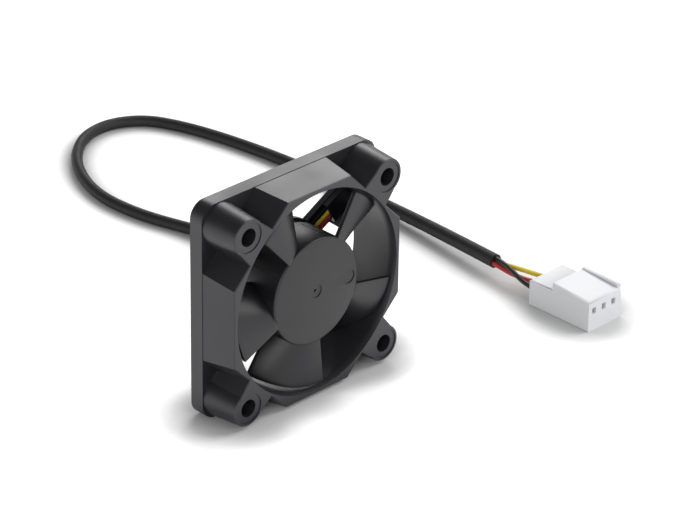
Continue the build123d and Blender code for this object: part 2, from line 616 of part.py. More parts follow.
COIL_WINDOW_WIDTH = INSULATOR_NECK + 2 * COIL_CLEARANCE
COIL_HALF_WIDTH = COIL_WINDOW_WIDTH / 2 + COIL_THICKNESS
SHOE_INNER_RADIUS = CORE_RADIUS - POLE_SHOE_THICKNESS
COIL_OUTER_RADIUS = sqrt(SHOE_INNER_RADIUS ** 2 - COIL_HALF_WIDTH ** 2) - COIL_CLEARANCE
COIL_WINDOW_LENGTH = CORE_LENGTH + 2 * INSULATOR_THICKNESS + 2 * COIL_CLEARANCE
for n in range(POLE_COUNT):
    turn = radians((n + 0.5) * 360 / POLE_COUNT)
    pole_end = (COIL_OUTER_RADIUS * cos(turn), (CORE_START + CORE_END - FRAME_DEPTH) / 2,
                AXIS_HEIGHT + COIL_OUTER_RADIUS * sin(turn))
    with BuildPart() as coil:
        with BuildSketch(Plane(origin=pole_end, x_dir=(0, 1, 0), z_dir=(-cos(turn), 0, -sin(turn)))):
            RectangleRounded(COIL_WINDOW_LENGTH + 2 * COIL_THICKNESS, 2 * COIL_HALF_WIDTH,
                             COIL_CORNER_RADIUS)
            Rectangle(COIL_WINDOW_LENGTH, COIL_WINDOW_WIDTH, mode=Mode.SUBTRACT)
        extrude(amount=COIL_OUTER_RADIUS - INSULATOR_RING - COIL_CLEARANCE)
    finish(coil, "coil_" + str(n + 1))

with BuildPart() as winding_pins:
    extrude(pins(PIN_END, PIN_RADIUS), amount=PIN_END - CORE_END)
finish(winding_pins, "winding_pins")


# Circuit board with its chip towards the rotor, and two small parts and the joints behind it
with BuildPart() as circuit_board:
    with BuildSketch(across(BOARD_REAR)):
        Circle(BOARD_RADIUS)
        Circle(TUBE_RADIUS + BOARD_BORE_CLEARANCE, mode=Mode.SUBTRACT)
    extrude(amount=BOARD_THICKNESS)
    extrude(pins(BOARD_REAR, PIN_RADIUS + PIN_HOLE_CLEARANCE), amount=BOARD_THICKNESS, mode=Mode.SUBTRACT)
finish(circuit_board, "circuit_board")


def on_board(size, radius, angle, depth):
    """A small box on the board: its length lies across the radius."""
    with BuildPart() as body:
        with BuildSketch(across(depth)):
            with Locations(Location((0, 0, 0), (0, 0, angle))):
                with Locations((radius, 0)):
                    Rectangle(size[0], size[1])
        extrude(amount=size[2])
    return body


driver_chip = on_board(CHIP_SIZE, CHIP_RADIUS, CHIP_ANGLE, BOARD_FRONT)
finish(driver_chip, "driver_chip")

capacitor = on_board(CAPACITOR_SIZE, SMALL_PART_RADIUS, CAPACITOR_ANGLE, BOARD_REAR + CAPACITOR_SIZE[2])
finish(capacitor, "capacitor")

resistor = on_board(RESISTOR_SIZE, SMALL_PART_RADIUS, RESISTOR_ANGLE, BOARD_REAR + RESISTOR_SIZE[2])
finish(resistor, "resistor")

with BuildPart() as solder_joints:
    extrude(pins(BOARD_REAR, SOLDER_RADIUS), amount=-SOLDER_HEIGHT, taper=25)
    extrude(pins(PIN_END, PIN_RADIUS), amount=PIN_END - BOARD_REAR, mode=Mode.SUBTRACT)
finish(solder_joints, "solder_joints")


# Leads, cable sleeve and plug
def turn_radii(points):
    """Bend radii that use nearly half of the shorter run on either side of a corner."""
    radii = []
    for before, corner, after in zip(points, points[1:], points[2:]):
        run_in, run_out = corner - before, after - corner
        half = radians(run_in.get_angle(run_out)) / 2
        radii.append(BEND_SHARE * min(run_in.length, run_out.length) / tan(half))
    return radii


def cord(points, diameter, label):
    """A round cord along straight runs that are joined by tangent bends."""
    points = [Vector(*p) for p in points]
    radii = turn_radii(points)
    with BuildPart() as body:
        with BuildLine() as path:
            FilletPolyline(*points, radius=radii)
        with BuildSketch(Plane(origin=path.wire() @ 0, z_dir=path.wire() % 0)):
            Circle(diameter / 2)
        sweep()
    length = path.wire().length
    section = pi * diameter * diameter / 4
    print(label, "bend radii", [round(r, 1) for r in radii], "length", round(length, 1),
          "volume ratio", round(body.part.volume / length / section, 4))
    return body


cable_sleeve = cord(SLEEVE_POINTS, SLEEVE_DIAMETER, "cable_sleeve")
finish(cable_sleeve, "cable_sleeve")

# Three leads lie in a triangle at either end of the sleeve
BUNDLE_RADIUS = (LEAD_DIAMETER + BUNDLE_GAP) / sqrt(3)


def bundle(end, beyond, first_angle, step):
    """Three points round one end of the sleeve and the direction out of it."""
    outwards = (Vector(*end) - Vector(*beyond)).normalized()
    level = Vector(0, 0, 1).cross(outwards).normalized()
    upwards = outwards.cross(level)
    places = []
    for n in range(3):
        angle = radians(first_angle + n * step)
        aside = level * (BUNDLE_RADIUS * cos(angle))
        above = upwards * (BUNDLE_RADIUS * sin(angle))
        places.append(Vector(*end) + aside + above)
    return places, outwards


places, outwards = bundle(SLEEVE_POINTS[0], SLEEVE_POINTS[1], 90, 120)
for n, colour in enumerate(["black", "yellow", "red"]):
    tail = places[n] + outwards * LEAD_TAIL
    # The lead leaves its slot in the flange and turns towards the sleeve
    reach = (tail.X + LEAD_OFFSETS[n] * sin(radians(STRUT_ANGLE))) / cos(radians(STRUT_ANGLE))
    corner = along_strut(reach, LEAD_OFFSETS[n], LEAD_DEPTH)
    start = along_strut(LEAD_START, LEAD_OFFSETS[n], LEAD_DEPTH)
    lead = cord([start, corner, tail, places[n]], LEAD_DIAMETER, "fan_lead_" + colour)
    finish(lead, "fan_lead_" + colour)

# The plug leads spread from the sleeve to the plug's three ways, and end in its crimps
WAYS = [PLUG_CENTRE_X + PLUG_ROW_SHIFT + PLUG_PITCH * n for n in (1, 0, -1)]
CRIMP_END = PLUG_REAR_Y - CAVITY_REAR_WALL + CRIMP_LENGTH / 2
places, outwards = bundle(SLEEVE_POINTS[-1], SLEEVE_POINTS[-2], -30, -120)
PLUG_ROUTES = [PLUG_LEAD_YELLOW_POINTS, PLUG_LEAD_RED_POINTS, PLUG_LEAD_BLACK_POINTS]
for n, colour in enumerate(["yellow", "red", "black"]):
    end = (WAYS[n], CRIMP_END, PLUG_ENTRY_HEIGHT)
    entry = (WAYS[n], PLUG_REAR_Y + LEAD_ENTRY_LENGTH, PLUG_ENTRY_HEIGHT)
    tail = places[n] + outwards * LEAD_TAIL
    lead = cord([places[n], tail, *PLUG_ROUTES[n], entry, end], LEAD_DIAMETER, "plug_lead_" + colour)
    finish(lead, "plug_lead_" + colour)


def square_on(y):
    """The plane square to the plug's length, seen from its mating face; its y is the height."""
    return Plane(origin=(0, y, 0), x_dir=(1, 0, 0), z_dir=(0, -1, 0))


PLUG_FACE_Y = PLUG_REAR_Y - PLUG_LENGTH
PLUG_STEP_Y = PLUG_FACE_Y + PLUG_FRONT_LENGTH
PLUG_HIGH_X = PLUG_CENTRE_X + PLUG_WIDTH / 2

with BuildPart() as plug_housing:
    # Side view: low at the leads, higher at the mating end, with a top that falls to the face
    with BuildSketch(Plane(origin=(PLUG_HIGH_X, 0, 0), x_dir=(0, 1, 0), z_dir=(1, 0, 0))):
        Polygon(
            (PLUG_REAR_Y, 0), (PLUG_REAR_Y, PLUG_REAR_HEIGHT), (PLUG_STEP_Y, PLUG_REAR_HEIGHT),
            (PLUG_STEP_Y, PLUG_FRONT_HEIGHT), (PLUG_FACE_Y, PLUG_FRONT_EDGE_HEIGHT),
            (PLUG_FACE_Y, 0), align=None)
    extrude(amount=-PLUG_WIDTH)
    # Raised wall on the far side of the mating end
    with BuildSketch(square_on(PLUG_FACE_Y)):
        with Locations((PLUG_HIGH_X, 0)):
            Rectangle(PLUG_WALL_WIDTH, PLUG_FRONT_EDGE_HEIGHT + PLUG_WALL_HEIGHT,
                      align=(Align.MAX, Align.MIN))
    extrude(amount=-PLUG_FRONT_LENGTH)
    fillet(plug_housing.edges().filter_by(Axis.Y), PLUG_EDGE_RADIUS)
    # Cavities for the terminals, with a small opening in the face and round entries behind
    with BuildSketch(square_on(PLUG_FACE_Y + PLUG_FACE_THICKNESS)):
        for x in WAYS:
            with Locations((x, CAVITY_BOTTOM)):
                Rectangle(CAVITY_WIDTH, CAVITY_TOP - CAVITY_BOTTOM, align=(Align.CENTER, Align.MIN))
    extrude(amount=-(PLUG_LENGTH - PLUG_FACE_THICKNESS - CAVITY_REAR_WALL), mode=Mode.SUBTRACT)
    with BuildSketch(square_on(PLUG_FACE_Y)):
        for x in WAYS:
            with Locations((x, PLUG_HOLE_HEIGHT)):
                Rectangle(*PLUG_HOLE_SIZE)
    extrude(amount=-PLUG_FACE_THICKNESS, mode=Mode.SUBTRACT)
    with BuildSketch(square_on(PLUG_REAR_Y)):
        for x in WAYS:
            with Locations((x, PLUG_ENTRY_HEIGHT)):
                Circle(PLUG_ENTRY_RADIUS)
    extrude(amount=CAVITY_REAR_WALL, mode=Mode.SUBTRACT)
finish(plug_housing, "plug_housing")

with BuildPart() as plug_terminals:
    # Box-shaped contacts behind the openings
    box_start = PLUG_FACE_Y + PLUG_FACE_THICKNESS
    box_middle = CAVITY_TOP - TERMINAL_HEIGHT / 2 - COIL_CLEARANCE
    with BuildSketch(square_on(box_start)):
        for x in WAYS:
            with Locations((x, box_middle)):
                Rectangle(TERMINAL_WIDTH, TERMINAL_HEIGHT)
                Rectangle(TERMINAL_WIDTH - 2 * TERMINAL_WALL, TERMINAL_HEIGHT - 2 * TERMINAL_WALL,
                          mode=Mode.SUBTRACT)
    extrude(amount=-TERMINAL_LENGTH)
    # A short neck joins each box to the crimp round its lead
    neck_bottom = PLUG_ENTRY_HEIGHT - CRIMP_RADIUS
    neck_top = box_middle - TERMINAL_HEIGHT / 2 + TERMINAL_WALL
    with BuildSketch(square_on(box_start + TERMINAL_LENGTH)):
        for x in WAYS:
            with Locations((x, neck_bottom)):
                Rectangle(TERMINAL_WIDTH / 2, neck_top - neck_bottom, align=(Align.CENTER, Align.MIN))
    extrude(amount=box_start + TERMINAL_LENGTH - CRIMP_END)
    with BuildSketch(square_on(CRIMP_END)):
        for x in WAYS:
            with Locations((x, PLUG_ENTRY_HEIGHT)):
                Circle(CRIMP_RADIUS)
                Circle(LEAD_DIAMETER / 2, mode=Mode.SUBTRACT)
    extrude(amount=-CRIMP_LENGTH)
finish(plug_terminals, "plug_terminals")
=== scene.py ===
# %% [markdown]
# # A 40 mm cooling fan with its lead and plug
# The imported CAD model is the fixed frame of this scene: every size and place comes from it.
# The cells below set the camera and the light first, then give each piece its real surface.

# %% Load the frame
import math
import bmesh
import bpy
from mathutils import Matrix, Vector


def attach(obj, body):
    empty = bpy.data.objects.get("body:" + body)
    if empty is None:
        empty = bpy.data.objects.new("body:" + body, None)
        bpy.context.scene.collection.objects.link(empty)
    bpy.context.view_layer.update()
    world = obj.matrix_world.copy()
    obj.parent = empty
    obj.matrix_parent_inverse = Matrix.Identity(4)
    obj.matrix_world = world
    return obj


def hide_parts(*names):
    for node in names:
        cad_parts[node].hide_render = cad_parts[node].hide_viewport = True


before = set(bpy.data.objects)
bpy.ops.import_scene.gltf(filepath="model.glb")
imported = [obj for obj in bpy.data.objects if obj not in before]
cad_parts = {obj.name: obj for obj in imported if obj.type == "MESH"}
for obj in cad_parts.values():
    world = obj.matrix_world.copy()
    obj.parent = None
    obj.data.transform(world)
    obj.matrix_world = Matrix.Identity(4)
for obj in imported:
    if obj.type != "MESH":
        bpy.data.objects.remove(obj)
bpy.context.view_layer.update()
scene = bpy.context.scene

# %% [markdown]
# ## Camera
# The photograph was taken from the front left and above with a long lens. A camera fitted to the
# screw holes and the frame's corners gives its place and its three directions.

# %% Camera
FOCAL_LENGTH_MM = 173.5
CAMERA_PLACE = Vector((-0.3487, -0.3549, 0.2894))
CAMERA_RIGHT = Vector((0.7067, -0.7073, 0.0154))
CAMERA_UP = Vector((0.3240, 0.3429, 0.8817))
NEAREST_SEEN = 0.05

camera = bpy.data.objects.new("camera", bpy.data.cameras.new("camera"))
scene.collection.objects.link(camera)
camera.data.lens = FOCAL_LENGTH_MM
camera.data.clip_start = NEAREST_SEEN
facing = Matrix((CAMERA_RIGHT, CAMERA_UP, CAMERA_RIGHT.cross(CAMERA_UP))).transposed()
camera.matrix_world = Matrix.Translation(CAMERA_PLACE) @ facing.to_4x4()
scene.camera = camera
scene.view_settings.view_transform = "Standard"
print("camera distance", round(CAMERA_PLACE.length, 3))


# %% [markdown]
# ## Nodes from a script
# Materials and Geometry Nodes are both trees of nodes. One function adds a node, sets its
# options and fills its inputs from values or from other nodes, so each tree reads as a list.

# %% Helpers for node trees and colours
def add(tree, kind, *inputs, named=None, **settings):
    """Add a node; an input is a value, a socket, another node's first output, or None to skip."""
    made = tree.nodes.new(kind)
    for name, value in settings.items():
        setattr(made, name, value)
    pairs = list(enumerate(inputs)) + list((named or {}).items())
    for key, value in pairs:
        if value is None:
            continue
        if isinstance(value, bpy.types.Node):
            value = value.outputs[0]
        if isinstance(value, bpy.types.NodeSocket):
            tree.links.new(value, made.inputs[key])
        else:
            made.inputs[key].default_value = value
    return made


def linear(hex_colour):
    """Turn an sRGB hex colour into the linear values that shaders use."""
    channels = [int(hex_colour[i:i + 2], 16) / 255 for i in (1, 3, 5)]
    return [c / 12.92 if c <= 0.04045 else ((c + 0.055) / 1.055) ** 2.4 for c in channels] + [1.0]


# A noise texture hardly leaves these values
NOISE_ENDS = (0.3, 0.7)


def empty_material(name):
    """A material whose tree is ready for nodes."""
    material = bpy.data.materials.new(name)
    material.use_nodes = True
    material.node_tree.nodes.clear()
    return material


def per_metre(size_mm):
    """Texture scale that makes one feature about this many millimetres wide."""
    return 1000.0 / size_mm


# %% [markdown]
# ## Floor, background and light
# The photograph has a white ground with a soft shadow close to the object. The floor is a pale
# matt sheet. Towards the camera it also glows, so it reads white where nothing shades it. The glow
# fades where something stands close, because the photograph's shadow is tight and dark there.
# The world is white to the camera and dimmer as a light. Reflections see it white near the
# ground, as a backdrop is, and dark above it, as the rest of a studio is: that is what leaves
# the pockets of the black frame black. A curved backdrop would shade the other views.

# %% Floor and world
FLOOR_WIDTH = 6.0
FLOOR_COLOUR = "#c8c8c8"
FLOOR_GLOW = 0.75
CONTACT_SHADOW_MM = 9.0
CONTACT_SAMPLES = 12
WALL_FOOT_LEVEL = 0.5
CONTACT_POWER = 3.5
WORLD_LIGHT = 0.42
BACKDROP_ENDS = (0.05, 0.35)
CEILING_LEVEL = 0.12


def shown_white(tree):
    """One where a ray comes from the camera, a reflection or a clear material, else nought."""
    ray = add(tree, "ShaderNodeLightPath")
    seen = add(tree, "ShaderNodeMath", ray.outputs["Is Camera Ray"], ray.outputs["Is Glossy Ray"],
               operation="MAXIMUM")
    return add(tree, "ShaderNodeMath", seen, ray.outputs["Is Transmission Ray"],
               operation="MAXIMUM")


bpy.ops.mesh.primitive_plane_add(size=FLOOR_WIDTH, location=(0, 0, 0))
floor = bpy.context.object
floor.name = "floor"
sheet = empty_material("pale matt sheet")
tree = sheet.node_tree
matt = add(tree, "ShaderNodeBsdfDiffuse", linear(FLOOR_COLOUR))
# The node gives one on open ground and less near a wall; its level at the wall's foot is nought
opening = add(tree, "ShaderNodeAmbientOcclusion", None, CONTACT_SHADOW_MM / 1000,
              samples=CONTACT_SAMPLES)
opening = add(tree, "ShaderNodeMapRange", opening.outputs["AO"], WALL_FOOT_LEVEL, 1.0,
              0.0, 1.0)
opening = add(tree, "ShaderNodeMath", opening, CONTACT_POWER, operation="POWER")
opening = add(tree, "ShaderNodeMath", opening, FLOOR_GLOW, operation="MULTIPLY")
glow = add(tree, "ShaderNodeMath", shown_white(tree), opening, operation="MULTIPLY")
glowing = add(tree, "ShaderNodeEmission", (1, 1, 1, 1), glow)
both = add(tree, "ShaderNodeAddShader", matt, glowing)
add(tree, "ShaderNodeOutputMaterial", both)
floor.data.materials.append(sheet)

world = bpy.data.worlds.new("studio")
scene.world = world
world.use_nodes = True
tree = world.node_tree
tree.nodes.clear()
direction = add(tree, "ShaderNodeSeparateXYZ", add(tree, "ShaderNodeTexCoord").outputs["Generated"])
backdrop = add(tree, "ShaderNodeMapRange", direction.outputs["Z"], *BACKDROP_ENDS, 1.0,
               CEILING_LEVEL)
ray = add(tree, "ShaderNodeLightPath")
backdrop = add(tree, "ShaderNodeMath", backdrop, ray.outputs["Is Camera Ray"], operation="MAXIMUM")
level = add(tree, "ShaderNodeMapRange", shown_white(tree), 0.0, 1.0, WORLD_LIGHT, backdrop)
white = add(tree, "ShaderNodeBackground", (1, 1, 1, 1), level)
add(tree, "ShaderNodeOutputWorld", white)
print("floor and world ready")


# %% [markdown]
# ## Softboxes
# Black plastic shows little colour of its own. What the eye reads is the reflection of the lamps,
# so soft lamps stand where each main face mirrors them: one at the right and behind for the top
# faces, and one at the right and in front for the mouth's flare. Two more, at the front and at the
# front left, light the pale plug's upright faces.

# %% Softboxes
MIDDLE = Vector((0.0, 0.0, 0.02))


def softbox(name, place, size, power):
    """A rectangular area light that faces the middle of the fan."""
    lamp = bpy.data.lights.new(name, "AREA")
    lamp.shape = "RECTANGLE"
    lamp.size, lamp.size_y = size
    lamp.energy = power
    holder = bpy.data.objects.new(name, lamp)
    scene.collection.objects.link(holder)
    holder.location = place
    holder.rotation_euler = (MIDDLE - Vector(place)).to_track_quat("-Z", "Y").to_euler()


softbox("right, behind and above", (0.42, 0.34, 0.42), (0.3, 0.3), 1.6)
softbox("right and above", (0.44, -0.27, 0.46), (0.3, 0.4), 1.8)
softbox("front left", (-0.55, -0.35, 0.3), (0.3, 0.3), 1.5)
softbox("front", (0.15, -0.65, 0.3), (0.3, 0.3), 1.1)

# %% [markdown]
# ## Moulded plastics
# The frame and the impeller are glass-filled PBT, injection moulded in a spark-eroded tool. That
# leaves a very fine grain, so the surface scatters light softly and shows broad, dull highlights.
# The plug and the coil formers are unfilled nylon, smoother and a little waxy. They all share one
# recipe: a slow drift of colour and gloss, and a bump with the size of the tool's grain.

# %% Moulded plastics
COLOUR_DRIFT_MM = 9.0


def moulded(name, colour, colour_2, roughness, ior, grain_mm, grain_height_mm):
    """A moulded plastic: slight colour drift, a fine even grain and a little uneven gloss."""
    material = empty_material(name)
    tree = material.node_tree
    place = add(tree, "ShaderNodeTexCoord").outputs["Object"]
    drift = add(tree, "ShaderNodeTexNoise",
                named={"Vector": place, "Scale": per_metre(COLOUR_DRIFT_MM), "Detail": 3.0})
    colours = add(tree, "ShaderNodeMix", named={"Factor": drift.outputs[0]}, data_type="RGBA")
    colours.inputs[6].default_value = linear(colour)
    colours.inputs[7].default_value = linear(colour_2)
    grain = add(tree, "ShaderNodeTexNoise",
                named={"Vector": place, "Scale": per_metre(grain_mm), "Detail": 2.0})
    gloss = add(tree, "ShaderNodeMapRange", drift, *NOISE_ENDS, roughness - 0.04, roughness + 0.05)
    bump = add(tree, "ShaderNodeBump", named={
        "Height": grain.outputs[0], "Distance": grain_height_mm / 1000, "Strength": 1.0})
    surface = add(tree, "ShaderNodeBsdfPrincipled", named={
        "Base Color": colours.outputs[2], "Roughness": gloss.outputs[0], "IOR": ior,
        "Normal": bump.outputs[0]})
    add(tree, "ShaderNodeOutputMaterial", surface)
    return material


# Glass fibres under the skin and the eroded tool keep the black plastic from shining like glass
frame_pbt = moulded("glass-filled PBT, moulded, frame", "#17171c", "#1c1c21",
                    0.4, 1.57, 0.16, 0.004)
impeller_pbt = moulded("glass-filled PBT, moulded, impeller", "#121216", "#16161a",
                       0.4, 1.5, 0.14, 0.003)
# Natural nylon is a milky white; it takes a soft, broad highlight
plug_nylon = moulded("nylon 66, natural white, moulded", "#dadbde", "#e0e1e3",
                     0.45, 1.53, 0.3, 0.002)
former_nylon = moulded("nylon 66, natural ivory, moulded", "#cfc9b8", "#d6d1c2",
                       0.45, 1.53, 0.3, 0.002)
# Transfer-moulded epoxy has a grey-black satin skin from its mineral filler
chip_epoxy = moulded("epoxy, filled, transfer moulded", "#202021", "#262627", 0.5, 1.55, 0.1, 0.003)
# Sintered barium titanate under a fired glaze, as chip capacitors have
chip_ceramic = moulded("ceramic, sintered, capacitor", "#a08a6c", "#a9947a", 0.4, 1.6, 0.1, 0.001)
resistor_glaze = moulded("overglaze on alumina, fired, resistor", "#17181a", "#1e1f21",
                         0.3, 1.55, 0.2, 0.001)
# Ferrite powder in nylon, pressed and cured: dark grey and almost without gloss
magnet_ferrite = moulded("bonded ferrite, moulded", "#3a3a3d", "#434346", 0.62, 1.5, 0.2, 0.006)
washer_nylon = moulded("nylon with graphite, moulded washer", "#2c2d2f", "#343537",
                       0.4, 1.53, 0.2, 0.002)
cap_pbt = moulded("PBT, moulded, bearing cap", "#29292b", "#2f2f31", 0.36, 1.55, 0.14, 0.002)
print("plastics", len(bpy.data.materials) - 1)


# %% [markdown]
# ## Metals
# The yoke is drawn from steel strip, the core is stamped from electrical steel, the shaft is
# ground and the bearing is sintered bronze. What tells them apart is the direction and size of
# the marks: the tool leaves them along one axis, so one noise texture is stretched that way.

# %% Metals
def worked(name, colour, colour_2, roughness, mark_mm, stretch, mark_height_mm):
    """A worked metal: marks of one size, stretched along each axis by these factors."""
    material = empty_material(name)
    tree = material.node_tree
    place = add(tree, "ShaderNodeTexCoord").outputs["Object"]
    drawn = add(tree, "ShaderNodeMapping", place, named={"Scale": stretch})
    marks = add(tree, "ShaderNodeTexNoise",
                named={"Vector": drawn, "Scale": per_metre(mark_mm), "Detail": 4.0})
    colours = add(tree, "ShaderNodeMix", named={"Factor": marks.outputs[0]}, data_type="RGBA")
    colours.inputs[6].default_value = linear(colour)
    colours.inputs[7].default_value = linear(colour_2)
    gloss = add(tree, "ShaderNodeMapRange", marks, *NOISE_ENDS, roughness - 0.06, roughness + 0.08)
    bump = add(tree, "ShaderNodeBump", named={
        "Height": marks.outputs[0], "Distance": mark_height_mm / 1000, "Strength": 1.0})
    surface = add(tree, "ShaderNodeBsdfPrincipled", named={
        "Base Color": colours.outputs[2], "Roughness": gloss.outputs[0], "Metallic": 1.0,
        "Normal": bump.outputs[0]})
    add(tree, "ShaderNodeOutputMaterial", surface)
    return material


# Deep drawing pulls fine lines along the cup's axis; the zinc over it is a cool light grey
yoke_steel = worked("steel strip, deep drawn, zinc plated", "#a9adb1", "#b9bcbf",
                    0.34, 0.25, (1, 0.15, 1), 0.002)
# Each lamination is half a millimetre thick, so the marks are wide across and thin along the axis
core_steel = worked("electrical steel, stamped laminations", "#77797b", "#8d8f91",
                    0.42, 0.5, (0.1, 1.0, 0.1), 0.02)
# A centreless grinder leaves rings round the shaft
shaft_steel = worked("stainless steel, ground", "#c4c6c8", "#d0d1d2",
                     0.18, 0.12, (0.2, 1.0, 0.2), 0.0005)
ring_steel = worked("spring steel, stamped, tempered", "#7e7a74", "#8c8882",
                    0.38, 0.2, (1, 1, 1), 0.001)
# Sintered bronze keeps the grains of its powder, with oil in the pores between them
bearing_bronze = worked("bronze, sintered, oil filled", "#8c6a3c", "#a37f4b",
                        0.5, 0.12, (1, 1, 1), 0.008)
tinned_pin = worked("steel pin, tinned", "#b9babb", "#c8c9ca", 0.3, 0.3, (1, 0.2, 1), 0.001)
solder = worked("tin solder, reflowed", "#c0c2c4", "#d2d3d5", 0.22, 0.4, (1, 1, 1), 0.003)
contact_tin = worked("brass strip, stamped, tin plated", "#b4b3ad", "#c5c4bf",
                     0.32, 0.2, (1, 0.3, 1), 0.001)
print("metals", [m.name for m in bpy.data.materials if "steel" in m.name])

# %% [markdown]
# ## Circuit board
# The board is woven glass in epoxy with a green solder mask. The weave shows through the mask as
# a faint square pattern, so two sets of bands cross.

# %% Circuit board
WEAVE_SCALE = per_metre(0.5) / 6.28
WEAVE_HEIGHT = 0.000004

board_laminate = empty_material("glass-epoxy laminate, solder masked")
tree = board_laminate.node_tree
place = add(tree, "ShaderNodeTexCoord").outputs["Object"]
warp = add(tree, "ShaderNodeTexWave", place, named={"Scale": WEAVE_SCALE}, bands_direction="X")
weft = add(tree, "ShaderNodeTexWave", place, named={"Scale": WEAVE_SCALE}, bands_direction="Z")
weave = add(tree, "ShaderNodeMath", warp.outputs["Fac"], weft.outputs["Fac"], operation="MAXIMUM")
mask = add(tree, "ShaderNodeMix", named={"Factor": weave.outputs[0]}, data_type="RGBA")
mask.inputs[6].default_value = linear("#1d4a2f")
mask.inputs[7].default_value = linear("#265a39")
weave_bump = add(tree, "ShaderNodeBump",
                 named={"Height": weave.outputs[0], "Distance": WEAVE_HEIGHT})
surface = add(tree, "ShaderNodeBsdfPrincipled", named={
    "Base Color": mask.outputs[2], "Roughness": 0.32, "IOR": 1.55, "Normal": weave_bump.outputs[0]})
add(tree, "ShaderNodeOutputMaterial", surface)
print("board laminate ready")


# %% Dress the CAD nodes that keep their own mesh
def dress(material, *nodes):
    """Give CAD nodes one material."""
    for name in nodes:
        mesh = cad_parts[name].data
        mesh.materials.clear()
        mesh.materials.append(material)


dress(frame_pbt, "housing")
dress(yoke_steel, "rotor_yoke")
dress(magnet_ferrite, "ring_magnet")
dress(shaft_steel, "shaft")
dress(washer_nylon, "thrust_washer")
dress(ring_steel, "retaining_ring")
dress(bearing_bronze, "sleeve_bearing")
dress(cap_pbt, "bearing_cap")
dress(core_steel, "stator_core")
dress(former_nylon, "front_insulator", "rear_insulator")
dress(tinned_pin, "winding_pins")
dress(solder, "solder_joints")
dress(board_laminate, "circuit_board")
dress(chip_epoxy, "driver_chip")
dress(chip_ceramic, "capacitor")
dress(resistor_glaze, "resistor")
dress(contact_tin, "plug_terminals")
print("dressed", sum(1 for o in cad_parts.values() if o.data.materials))

# %% [markdown]
# ## Impeller blades
# Five equal blades curve from a shallow leading edge to a steep trailing edge. Every blade follows
# one rule, so a Geometry Nodes tree makes it: a cube with many vertices is bent so that its x runs
# along the blade's span angle, its y from the tip to the root and its z through the thickness.
# The blade is then placed five times round the axis. Modelling by hand would lose the rule.

# %% Blade tree
MM = 0.001
AXIS_HEIGHT = 20.0 * MM
FRAME_DEPTH = 10.0 * MM

blades_tree = bpy.data.node_groups.new("fan blades", "GeometryNodeTree")
blades_tree.interface.new_socket(name="Geometry", in_out="OUTPUT", socket_type="NodeSocketGeometry")
BLADE_SIZES = {
    "Root radius": 9.45 * MM, "Tip radius": 17.85 * MM, "Half span angle": math.radians(20.5),
    "Start depth": 0.5 * MM, "Axial length": 6.4 * MM, "Entry slope": 0.04, "Camber power": 2.8,
    "Leading thickness": 0.8 * MM, "Trailing thickness": 0.55 * MM,
    "First angle": math.radians(-32.5), "Step angle": math.radians(72.0)}
BLADE_GRID = (33, 13, 3)
for name in BLADE_SIZES:
    blades_tree.interface.new_socket(name=name, in_out="INPUT", socket_type="NodeSocketFloat")
blades_tree.interface.new_socket(name="Blades", in_out="INPUT", socket_type="NodeSocketInt")
blades_tree.interface.new_socket(name="Material", in_out="INPUT", socket_type="NodeSocketMaterial")

tree = blades_tree
size = add(tree, "NodeGroupInput").outputs
block = add(tree, "GeometryNodeMeshCube", (1, 1, 1), *BLADE_GRID)
corner = add(tree, "ShaderNodeSeparateXYZ", add(tree, "GeometryNodeInputPosition")).outputs
share = add(tree, "ShaderNodeMath", corner["X"], 0.5, operation="ADD")
inwards = add(tree, "ShaderNodeMath", corner["Y"], 0.5, operation="ADD")
through = add(tree, "ShaderNodeMath", corner["Z"], 0.5, operation="ADD")
# Radius runs from the tip to the root
radius = add(tree, "ShaderNodeMapRange", inwards, 0.0, 1.0, size["Tip radius"], size["Root radius"])
# Depth of the front face: a short straight entry, then a power curve
camber = add(tree, "ShaderNodeMath", share, size["Camber power"], operation="POWER")
curve = add(tree, "ShaderNodeMapRange", size["Entry slope"], 0.0, 1.0, camber, share)
fall_by = add(tree, "ShaderNodeMath", curve, size["Axial length"], operation="MULTIPLY")
depth = add(tree, "ShaderNodeMath", fall_by, size["Start depth"], operation="ADD")
# Slope of that curve, for the direction of the blade's thickness
power_less = add(tree, "ShaderNodeMath", size["Camber power"], 1.0, operation="SUBTRACT")
steep = add(tree, "ShaderNodeMath", share, power_less, operation="POWER")
steep = add(tree, "ShaderNodeMath", steep, size["Camber power"], operation="MULTIPLY")
steep = add(tree, "ShaderNodeMapRange", size["Entry slope"], 0.0, 1.0, steep, 1.0)
fall = add(tree, "ShaderNodeMath", steep, size["Axial length"], operation="MULTIPLY")
run = add(tree, "ShaderNodeMath", size["Half span angle"], 2.0, operation="MULTIPLY")
run = add(tree, "ShaderNodeMath", run, radius, operation="MULTIPLY")
slope = add(tree, "ShaderNodeCombineXYZ", run, fall)
slope = add(tree, "ShaderNodeVectorMath", slope, operation="NORMALIZE")
slope = add(tree, "ShaderNodeSeparateXYZ", slope).outputs
thick = add(tree, "ShaderNodeMapRange", share, 0.0, 1.0, size["Leading thickness"],
            size["Trailing thickness"])
thick = add(tree, "ShaderNodeMath", thick, through, operation="MULTIPLY")
